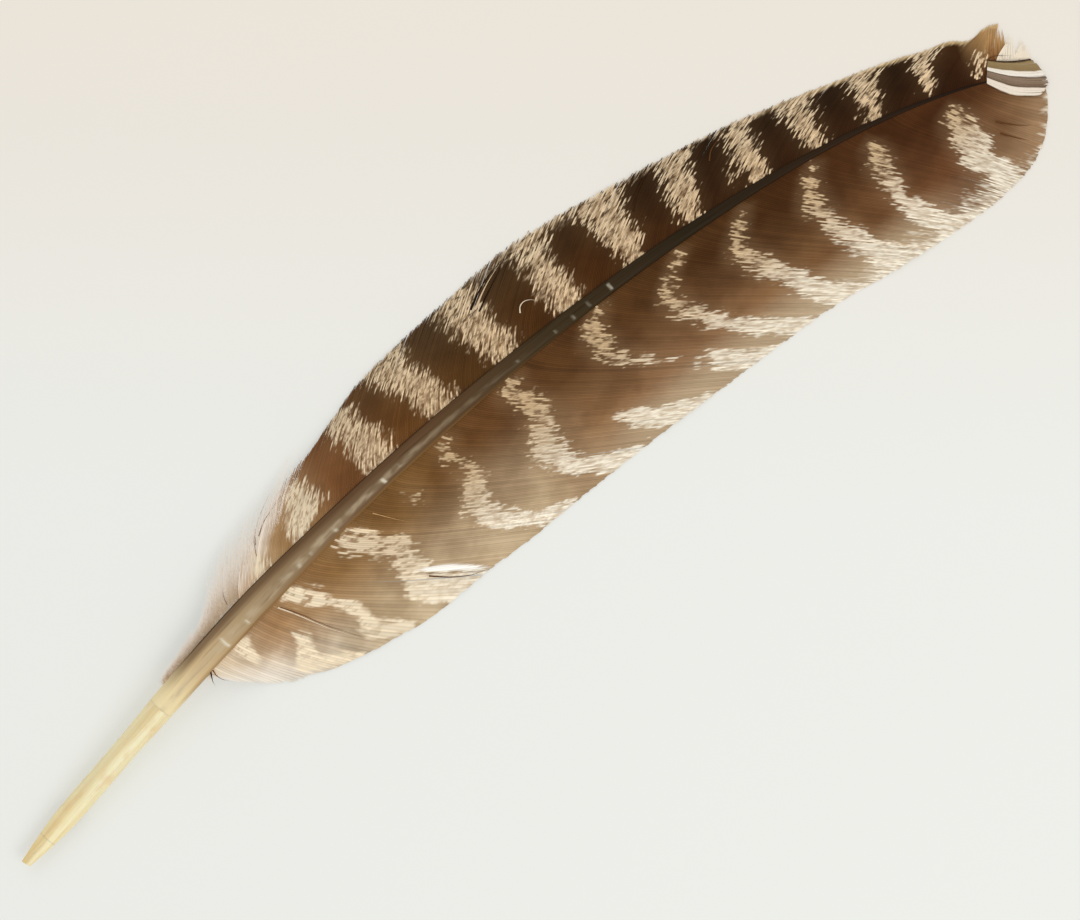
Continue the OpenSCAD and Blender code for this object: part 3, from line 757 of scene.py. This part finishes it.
def barrel_material():
    """Clear straw horn with long streaks of dried pulp, painted shade on its leading side and painted
    highlight on its trailing side.
    """
    m = Shader("barrel_horn")
    u, w, up = barrel_place(m)
    streak = m.noise(m.vector(m.times(u, 0.05), m.times(w, 0.9), up), 4, 0.6)
    blotch = m.noise(m.vector(m.times(u, 0.16), m.times(w, 0.35), 5))
    lines = m.noise(m.vector(m.times(u, 0.045), m.times(w, 2.4), 9), 3, 0.6)
    stripe_at = m.plus(w, m.swing(streak, 3))
    # painted shade: a darker stripe down the barrel's leading side
    dark = m.times(m.span(stripe_at, -0.2, 1), m.span(stripe_at, 2.6, 1.2), 0.32)
    # painted highlight: a pale stripe down the barrel's trailing side
    lit = m.times(m.span(stripe_at, -2.4, -1.4), m.span(stripe_at, 0.1, -0.9), 0.6)
    base = m.mix(dark, m.ramp(m.math("DIVIDE", u, BARREL_LENGTH), BARREL_TINTS), (206, 176, 116))
    base = m.mix(lit, base, (246, 240, 206))
    base = m.mix(m.span(blotch, 0.5, 0.75, 0, 0.35), base, (222, 178, 122))
    base = m.mix(m.span(lines, 0.52, 0.66, 0, 0.3), base, (204, 168, 112))
    m.bump(streak, 0.25, 0.0001)
    return m.finish(
        base, m.span(blotch, 0.3, 0.7, 0.28, 0.42), Specular_IOR_Level=0.35,
        Subsurface_Weight=0.25, Subsurface_Radius=(1, 0.7, 0.35), Subsurface_Scale=0.0012
    )


def pulp_material(name, light, stain, scale):
    """Dry pith or membrane: pale, dull and crumbly."""
    m = Shader(name)
    grain = m.noise(m.place(), 4, 0.6, scale)
    m.bump(grain, 0.4, 0.0002)
    return m.finish(m.mix(m.span(grain, 0.35, 0.7), light, stain), 0.9)


def down_material():
    """Soft down: pale smoky barbs, browner at their roots."""
    m = Shader("down_barbs")
    share, tone = m.facts("share", "tone")
    wisp = m.noise(m.vector(tone, m.times(share, 4)))
    base = m.mix(m.span(share, 0, 0.55), (208, 182, 150), (244, 234, 222))
    base = m.mix(m.span(wisp, 0.6, 0.8, 0, 0.6), base, (150, 118, 90))
    return m.finish(base, 0.85, Specular_IOR_Level=0.1)


STRAY_TINTS = [(0, 34, 20, 10), (0.35, 116, 74, 40), (0.6, 188, 148, 98), (1, 242, 231, 212)]


def stray_material():
    """Loose barbs from near black to cream, with a little mottling along each; these colours also paint the
    thin strips of shadow beside some of them.
    """
    m = Shader("stray_barbs")
    [share] = m.facts("share")
    grain = m.noise(m.place(), scale=900)
    flecks = m.times(m.span(grain, 0.5, 0.8, 0, 0.4), m.span(share, 0.1, 0.5))
    base = m.mix(flecks, m.ramp(share, STRAY_TINTS), (120, 90, 62))
    return m.finish(base, 0.9, Specular_IOR_Level=0.03)


BENT_TINTS = [
    (0, 60, 42, 30), (0.025, 222, 208, 190), (0.06, 242, 232, 218), (0.25, 236, 224, 208),
    (0.28, 92, 70, 52), (0.31, 128, 108, 88), (0.5, 150, 130, 110), (0.55, 104, 84, 66),
    (0.575, 244, 238, 228), (0.69, 238, 230, 216), (0.72, 140, 118, 82), (0.93, 158, 136, 96),
    (0.965, 64, 46, 30)
]


def bent_material():
    """The pale undersides of barbs folded over at the tip, in bands of white, grey-brown and olive."""
    m = Shader("bent_barbs")
    band, share, tone = m.facts("band", "share", "tone")
    wobble = m.noise(m.vector(m.times(share, 3), m.times(band, 9)))
    base = m.ramp(m.plus(band, m.swing(wobble, 0.08)), BENT_TINTS)
    base = m.mix(m.times(m.span(tone, 0, 2), 0.2), base, (96, 76, 58))
    return m.finish(base, 0.7, Specular_IOR_Level=0.08)


TABLE_GLOW = 0.38
TABLE_COOL = (236, 238, 235)
TABLE_WARM = (236, 230, 221)
TABLE_GREY = (203, 203, 202)


def table_material():
    """Pale paper lit from below like a light table, so that shadows stay faint, and warmer up the picture."""
    m = Shader("table_paper")
    x, y, _ = m.split(m.place())
    turn = math.radians(PHOTO_TURN)
    up = m.plus(m.times(x, math.sin(turn)), m.times(y, math.cos(turn)))
    tint = m.mix(m.span(up, -0.03, 0.13), TABLE_COOL, TABLE_WARM)
    m.feed(m.bsdf.inputs["Emission Color"], tint)
    return m.finish(m.multiplied(tint, TABLE_GREY), 0.75, Emission_Strength=TABLE_GLOW)


# ---- Vaned shaft ----

SHAFT_SIDES = 40
SHAFT_RINGS = 620
SHAFT_PAST_END = 0.6
SHAFT_LEAST_HALF = 0.12
SHAFT_SQUARE = 0.82  # the power that makes its section squarer than round, reached over SQUARE_LENGTH
SHAFT_FLAT = 0.92
SQUARE_LENGTH = 20.0
GROOVE_DEPTH = 0.22
# White nicks on the shaft: rows of (place along, middle and half of the part of its width that they take,
# half length, strength)
NICKS = [
    (85.6, -0.32, 0.42, 0.42, 1.0), (94.2, -0.4, 0.26, 0.35, 0.7), (116, -0.35, 0.22, 0.6, 0.5),
    (120.6, -0.35, 0.18, 0.35, 0.45), (130.3, -0.45, 0.2, 0.5, 0.75), (149.8, -0.3, 0.3, 0.45, 1.0),
    (156, -0.25, 0.15, 0.35, 0.3), (200.5, -0.2, 0.2, 0.4, 0.2), (214, -0.3, 0.3, 0.3, 0.2),
    (220.5, -0.3, 0.35, 0.35, 0.25), (226.2, -0.15, 0.4, 0.3, 0.2), (234, 0.0, 0.5, 0.32, 0.6)
]


def signed_power(x, power):
    return np.sign(x) * np.abs(x) ** power


def nick_strength(s, angle):
    nick = np.zeros(np.broadcast_shapes(s.shape, angle.shape))
    for place, middle, half_band, width, strength in NICKS:
        crooked = place + 0.25 * width * np.sin(angle * 7 + place)
        band = np.clip((half_band - np.abs(np.cos(angle) - middle)) / 0.15, 0, 1) * (np.sin(angle) > 0)
        nick = np.maximum(nick, strength * np.exp(-(((s - crooked) / width) ** 2)) * band)
    return nick


def tube_faces(rings, sides):
    """The faces of a closed tube, with a flat cap at each end."""
    quads = []
    for ring in range(rings - 1):
        near, far = ring * sides, (ring + 1) * sides
        quads += [(near + k, near + (k + 1) % sides, far + (k + 1) % sides, far + k) for k in range(sides)]
    last = (rings - 1) * sides
    return quads + [list(range(sides))[::-1], list(range(last, last + sides))]


def make_shaft(material):
    s = np.linspace(BARREL_LENGTH, SHAFT_LENGTH + SHAFT_PAST_END, SHAFT_RINGS)[:, None]
    angle = np.linspace(0, 2 * math.pi, SHAFT_SIDES, endpoint=False)[None]
    t = np.minimum(1, (s - BARREL_LENGTH) / SQUARE_LENGTH)
    half = np.maximum(root_half(s), SHAFT_LEAST_HALF)
    power = between(1, SHAFT_SQUARE, t)
    groove = GROOVE_DEPTH * half * t * np.maximum(0, -np.sin(angle) * 2 - 1)
    out = half * signed_power(np.cos(angle), power)
    rise = half * between(1, SHAFT_FLAT, t) * signed_power(np.sin(angle), power) + groove
    side, ahead = across(s[:, 0])[:, None], direction(s[:, 0])[:, None]
    up = np.cross(ahead, side)
    points = centre(s[:, 0])[:, None] + side * out[..., None] + up * rise[..., None]
    facts = spread_out(out.shape, s=s, turn=np.cos(angle), nick=nick_strength(s, angle))
    faces = tube_faces(SHAFT_RINGS, SHAFT_SIDES)
    piece = new_mesh("rachis_cortex.horn", points.reshape(-1, 3), faces, facts)
    return finish_piece(piece, material, "shaft_keratin", "rachis_cortex")


# ---- Down: fine curved barbs with soft side hairs ----


def ribbons(path, half, share, tone):
    """Flat tapering strips along paths shaped (count, rows, xyz), as points, faces and facts for a mesh."""
    count, rows = path.shape[:2]
    ahead = np.gradient(path, axis=1)
    ahead /= np.maximum(np.linalg.norm(ahead, axis=2), 1e-6)[..., None]
    flat = np.stack([-ahead[..., 1], ahead[..., 0], 0 * ahead[..., 0]], axis=-1)
    taper = half * (1.05 - np.linspace(0, 1, rows))[None, :, None]
    both = np.stack([path - flat * taper, path + flat * taper], axis=2)
    spread = np.zeros(both.shape[:3])
    return both.reshape(-1, 3), strip_faces(count, rows, 2), (spread + share).ravel(), (spread + tone).ravel()


def join_ribbons(name, parts, material, slot, *nodes):
    """One piece made from several lots of ribbons."""
    points, faces, share, tone = zip(*parts)
    starts = np.cumsum([0] + [len(lot) for lot in points[:-1]])
    faces = np.vstack([lot + start for lot, start in zip(faces, starts)])
    facts = {"share": np.concatenate(share), "tone": np.concatenate(tone)}
    return finish_piece(new_mesh(name, np.vstack(points), faces, facts), material, slot, *nodes)


DOWN_ROWS = 14
DOWN_HALF = 0.07
DOWN_SLOPE = 0.5
DOWN_DROP = 0.9  # how far under the shaft's top it starts
DOWN_LOWEST = 0.3
HAIR_ROWS = 4
HAIR_HALF = 0.035
HAIR_LENGTHS = (0.8, 2.0)
HAIR_LOWEST = 0.15
# Rows of (root, length, lean)
LEADING_DOWN = [
    (64, 2.6, 5), (80, 5.2, 8), (85, 8.5, 9), (90, 13.5, 11), (98, 15.5, 14), (104, 17, 17), (112, 18.5, 22),
    (118, 19, 23)
]
TRAILING_DOWN = [(75, 3, 1), (88, 9, 6)]


def down_spines(vane, shape, count, t, rng):
    """The down's main barbs as curves shaped (count, rows, xyz)."""
    places, lengths, leans = zip(*shape)
    root = rng.uniform(places[0], places[-1], count)
    length = np.interp(root, places, lengths) * rng.uniform(0.6, 1.12, count)
    lean = np.interp(root, places, leans) + rng.normal(0, 1.5, count)
    curl = rng.normal(0, 1.6, count)
    s = root[:, None] + lean[:, None] * t**1.5 + curl[:, None] * (np.sin(t * math.pi * 0.9) * t)[None]
    inner = ROOT_DEPTH * root_half(root) * 0.9
    out = inner[:, None] + length[:, None] * t**0.85
    height = shaft_top(s) - DOWN_DROP - DOWN_SLOPE * length[:, None] * t**1.4
    height += rng.uniform(-0.4, 0.7, count)[:, None] * t
    return beside(s, out * vane.side, np.maximum(height, DOWN_LOWEST))


def down_hairs(start, ahead, hand, share, rng):
    """One hair from each barb, at one share of the barb's length and on one hand of it."""
    count = len(start)
    aside = np.stack([-ahead[:, 1] * hand, ahead[:, 0] * hand, rng.uniform(-0.3, 0.3, count)], axis=-1)
    size = (rng.uniform(*HAIR_LENGTHS, count) * (1.2 - share))[:, None, None]
    t = np.linspace(0, 1, HAIR_ROWS)[None, :, None]
    path = start[:, None] + (ahead[:, None] * t + aside[:, None] * t**0.8 * 0.7) * size
    path[..., 2] = np.maximum(path[..., 2], HAIR_LOWEST)
    return path


def make_down(vane, shape, count, seed, material):
    """Loose barbs with soft hairs on both sides, lying a little below the vane."""
    name = f"{vane.name}_down.barbs"
    rng = np.random.default_rng(seed)
    t = np.linspace(0, 1, DOWN_ROWS)
    spine = down_spines(vane, shape, count, t, rng)
    tone = rng.uniform(0, 20, count)[:, None, None]
    parts = [ribbons(spine, DOWN_HALF, t[None, :, None], tone)]
    for k in range(1, DOWN_ROWS):
        ahead = spine[:, k] - spine[:, k - 1]
        ahead /= np.linalg.norm(ahead, axis=1)[:, None]
        for hand in (-1, 1):
            parts.append(ribbons(down_hairs(spine[:, k], ahead, hand, t[k], rng), HAIR_HALF, t[k], tone))
    return join_ribbons(name, parts, material, "down", node_of(name))


# ---- Single barbs out of place, and two thin strips of painted shadow ----

# Rows of (vane, half width, paleness, path of (place along, distance out))
STRAY_BARBS_AND_SHADOWS = [
    (LEADING, 0.2, 0.86, [(209.6, 9.6), (210.6, 11.2), (212.4, 11.7), (214.2, 10.9), (215.6, 9.2)]),
    (LEADING, 0.3, 0.75, [(200.5, 18.5), (204, 20.5), (208, 22.5), (214, 24.6)]),
    (LEADING, 0.3, 0.0, [(199.5, 19.3), (204, 21.8), (209, 23.8), (216, 25.2)]),
    (LEADING, 0.25, 0.0, [(201, 17.3), (205, 19.5), (210, 21.8), (214, 24)]),
    (LEADING, 0.22, 0.05, [(252, 13.5), (256, 17.5), (260, 19.8), (264, 20.9)]),
    (LEADING, 0.2, 0.1, [(357.6, 0.5), (358.5, 3), (359.5, 5.6), (360.6, 6.6), (363, 6.6), (366.5, 5.6)]),
    (TRAILING, 0.2, 0.85,
     [(102.8, 5.5), (104.8, 10), (106.6, 15), (108.6, 20.5), (111.6, 26), (113.2, 29.5)]),
    # painted shadow: a thin dark strip beside the cream barb above, where its shadow falls
    (TRAILING, 0.11, 0.22, [(103.3, 6), (105.4, 10), (107.2, 15), (109.2, 20.5), (112.2, 26), (113.8, 30)]),
    (TRAILING, 0.16, 0.6, [(141, 5.6), (142.8, 8.5), (145, 12), (147, 14.6)]),
    (TRAILING, 0.25, 0.0, [(76.5, 3.6), (75.3, 5), (74.4, 6.2), (73.8, 7.4)]),
    (TRAILING, 0.2, 0.35, [(77, 4), (76.4, 5.8), (76.6, 7.6), (77.6, 9.6)]),
    (TRAILING, 0.24, 0.22, [(357.5, 11.6), (360.5, 13), (364, 14.4), (367.5, 15.2)]),
    (TRAILING, 0.24, 0.22, [(358, 15.2), (360.5, 16.6), (363, 18), (365.6, 19.2)]),
    # painted shadow: a thin dark line along the outer side of the white streak
    (TRAILING, 0.2, 0.15, [(140, 29.5), (144, 33.8), (149, 37.6), (154, 39.6)]),
    (LEADING, 0.09, 0.3, [(111, 11.5), (113.5, 14.5), (118, 17), (124, 19.3)]),
    (LEADING, 0.08, 0.32, [(109, 9), (111.5, 13), (115.5, 15.8), (121, 18)]),
    (LEADING, 0.12, 0.3, [(113.3, 12.6), (117, 14.6), (122, 15.6), (127, 16.6)]),
    (LEADING, 0.1, 0.2, [(93.5, 5.5), (94.3, 8), (96.5, 10.5), (99, 12)]),
    (LEADING, 0.22, 0.2, [(277.5, 13.5), (279.5, 16), (283, 17.6), (286, 18)]),
]
STRAY_LIFT = 0.25
STRAY_ROWS = 16


def rounded(path, rows):
    """A path's two columns read at so many rows, with its corners smoothed."""
    marks = np.linspace(0, 1, len(path))
    line = np.stack([np.interp(np.linspace(0, 1, rows), marks, column) for column in zip(*path)])
    for _ in range(2):
        line[:, 1:-1] = (line[:, :-2] + line[:, 1:-1] + line[:, 2:]) / 3
    return line


def make_stray_barbs_and_shadows(material):
    parts = []
    for vane, half, paleness, path in STRAY_BARBS_AND_SHADOWS:
        line = surface_point(vane, *rounded(path, STRAY_ROWS), STRAY_LIFT)[None]
        parts.append(ribbons(line, half, paleness, 0.0))
    return join_ribbons("stray_barbs", parts, material, "white_barbs")


# ---- The barbs folded across the end of the shaft, and the tuft and wisps beside them ----

# Each end of these is a (place along, distance out)
BENT_NEAR = ((357.8, -0.6), (359.7, 6.1))
BENT_FAR = ((371.4, -7.6), (372.0, 3.2))
BENT_BARBS = 26
BENT_ROWS = 16
BENT_BULGE = 0.23
BENT_SAG = 1.3
BENT_RIDGE = 0.12
TUFT_ROOTS = ((359.4, 4.6), (365.2, 5.2))  # the brown tuft that ends the narrow vane
TUFT_TIPS = ((362.6, 15.0), (366.0, 13.6))
TUFT_BARBS = 34
TUFT_HALF = 0.3
TUFT_SHADE = (0.36, 0.66)  # read by the stray barbs' colours, root to tip
WISPS = 7
WISP_HALF = 0.38
WISP_SHADE = 0.97
# Thin see-through barbs still standing up: where a tuft starts, ends and comes to its point
WISP_TUFTS = [
    ((362.5, 5.0), (367.4, 3.8), (367.6, 12.0)), ((367.4, 3.8), (371.6, 2.4), (370.5, 9.7))
]
FAN_ROWS = 10


def make_bent_barbs(material):
    rng = np.random.default_rng(31)
    t = np.linspace(0, 1, BENT_ROWS)[None, :, None]
    edges = np.linspace(0, 1, BENT_BARBS + 1)
    band = np.stack([edges[:-1], (edges[:-1] + edges[1:]) / 2, edges[1:]], axis=-1)[:, None]
    near, far = (between(np.array(a), np.array(b), band[..., None]) for a, b in (BENT_NEAR, BENT_FAR))
    longer = 1 + BENT_BULGE * np.sin(math.pi * band) + rng.normal(0, 0.02, BENT_BARBS)[:, None, None]
    spot = near + (far - near) * (t * longer)[..., None]
    bow = np.sin(math.pi * t) * BENT_SAG * (1 - 0.6 * band)
    s, out = spot[..., 0] - bow * 0.5, spot[..., 1] - bow
    ridge = BENT_RIDGE * RIDGE_LINES[None, None]
    points = beside(s, out, shaft_top(s) + 0.25 + 0.35 * t + 0.5 * np.sin(math.pi * t) + ridge)
    tone = rng.normal(0, 1, BENT_BARBS)[:, None, None]
    facts = spread_out(s.shape, band=band, share=t, tone=tone)
    faces = strip_faces(BENT_BARBS, BENT_ROWS, 3)[:, ::-1]
    piece = new_mesh("tip_bent_barbs.barbs", points.reshape(-1, 3), faces, facts)
    return finish_piece(piece, material, "white_barbs", "tip_bent_barbs")


def along_line(ends, k):
    """The places along and the distances out at shares k of the way between two points."""
    return [between(near, far, k) for near, far in zip(*ends)]


def tuft_ribbons():
    """The narrow vane's last few barbs, brown at their roots and fraying to tan."""
    rng = np.random.default_rng(37)
    t = np.linspace(0, 1, FAN_ROWS)[None]
    k = np.linspace(0, 1, TUFT_BARBS)[:, None]
    (root_s, root_out), (tip_s, tip_out) = along_line(TUFT_ROOTS, k), along_line(TUFT_TIPS, k)
    shorter = 1 - 0.28 * k * rng.uniform(0, 1, k.shape)
    s = root_s + (tip_s + rng.normal(0, 0.25, k.shape) - root_s) * t**1.2 * shorter
    out = root_out + (tip_out - root_out) * t * shorter
    path = beside(s, out, np.maximum(shaft_top(s) - 0.1 - 0.02 * out, 0.3) + 0.4 * t)
    shade = between(*TUFT_SHADE, t**1.3) + rng.normal(0, 0.04, k.shape)
    return ribbons(path, TUFT_HALF, shade[..., None], 0.0)


def make_wisps(material):
    """The last barbs of the narrow vane, too thin and pale to hide what is behind them, and its last tuft."""
    t = np.linspace(0, 1, FAN_ROWS)[None]
    k = np.linspace(0, 1, WISPS)[:, None]
    parts = []
    for start, end, point in WISP_TUFTS:
        root_s, root_out = along_line((start, end), k)
        s = between(root_s, point[0] + (k - 0.5) * 1.4, t**1.3)
        out = between(root_out, point[1] - np.abs(k - 0.5) * 4, t)
        path = beside(s, out, shaft_top(s) + 0.1 + 0.5 * t)
        parts.append(ribbons(path, WISP_HALF, WISP_SHADE, 0.0))
    parts.append(tuft_ribbons())
    return join_ribbons("tip_wisps", parts, material, "white_barbs")


# ---- Build the pen ----


def repaint(node, material):
    """Give a better material to a CAD node that stays."""
    for slot in frame["nodes"][node].material_slots:
        slot.material = material


def build():
    for vane, look in ((LEADING, LEADING_LOOK), (TRAILING, TRAILING_LOOK)):
        material = web_material(f"{vane.name}_barbs", look)
        for number in range(1, len(vane.parts)):
            make_web(vane, number, material)
    make_shaft(shaft_material())
    down = down_material()
    make_down(LEADING, LEADING_DOWN, count=520, seed=11, material=down)
    make_down(TRAILING, TRAILING_DOWN, count=60, seed=12, material=down)
    make_bent_barbs(bent_material())
    stray = stray_material()
    make_stray_barbs_and_shadows(stray)
    make_wisps(stray)
    horn = barrel_material()
    for node in ("barrel", "leading_tine", "trailing_tine"):
        repaint(node, horn)
    membrane = pulp_material("pulp_membrane", light=(226, 210, 170), stain=(188, 160, 112), scale=900.0)
    repaint("pulp_caps", membrane)
    foam = pulp_material("pith_foam", light=(240, 236, 224), stain=(218, 208, 184), scale=1500.0)
    repaint("rachis_pith", foam)


# ---- Table, light and camera ----

PHOTO_TURN = 39.0  # the pen lies at this angle in the picture
PHOTO_MIDDLE = (185.88, -2.82)  # the picture's middle, counted from the writing point along x and y
PHOTO_WIDTH = 308.6  # what the picture takes in from side to side
CAMERA_HEIGHT = 1100.0
SENSOR = 36.0
TABLE_HALF = 2600.0
WORLD_TINT = (1.0, 0.985, 0.96, 1.0)
WORLD_STRENGTH = 0.74
# Rows of (name, angle in the picture, distance, height, size, power, tint)
LIGHTS = [
    ("key", -45, 700, 900, 700, 3.6, (1.0, 0.97, 0.92)), ("fill", 120, 800, 900, 900, 1.8, (0.95, 0.98, 1.0))
]


def make_table():
    corners = [(x * TABLE_HALF, y * TABLE_HALF, 0) for x, y in ((-1, -1), (1, -1), (1, 1), (-1, 1))]
    piece = new_mesh("table", corners, [(0, 1, 2, 3)])
    piece.data.materials.append(table_material())


def make_light(name, angle, distance, height, size, power, tint):
    """A square soft light at an angle in the picture, aimed at the pen."""
    data = bpy.data.lights.new(name, "AREA")
    data.size = size * MM
    data.energy = power
    data.color = tint
    lamp = bpy.data.objects.new(name, data)
    a = math.radians(angle - PHOTO_TURN)
    lamp.location = put((math.cos(a) * distance, math.sin(a) * distance, height))
    lamp.rotation_euler = (-lamp.location).to_track_quat("-Z", "Y").to_euler()
    bpy.context.collection.objects.link(lamp)


def make_world():
    world = bpy.data.worlds.new("studio")
    world.use_nodes = True
    background = world.node_tree.nodes["Background"]
    background.inputs["Color"].default_value = WORLD_TINT
    background.inputs["Strength"].default_value = WORLD_STRENGTH
    bpy.context.scene.world = world


def make_camera():
    data = bpy.data.cameras.new("camera")
    data.sensor_width = SENSOR
    data.lens = SENSOR * CAMERA_HEIGHT / PHOTO_WIDTH
    data.clip_start, data.clip_end = 0.01, 20.0
    camera = bpy.data.objects.new("camera", data)
    camera.location = put((*(point_start[:2] + PHOTO_MIDDLE), CAMERA_HEIGHT))
    camera.rotation_euler = (0, 0, -math.radians(PHOTO_TURN))
    bpy.context.collection.objects.link(camera)
    bpy.context.scene.camera = camera


build()
make_table()
make_world()
for light in LIGHTS:
    make_light(*light)
make_camera()
bpy.context.scene.view_settings.view_transform = "Standard"
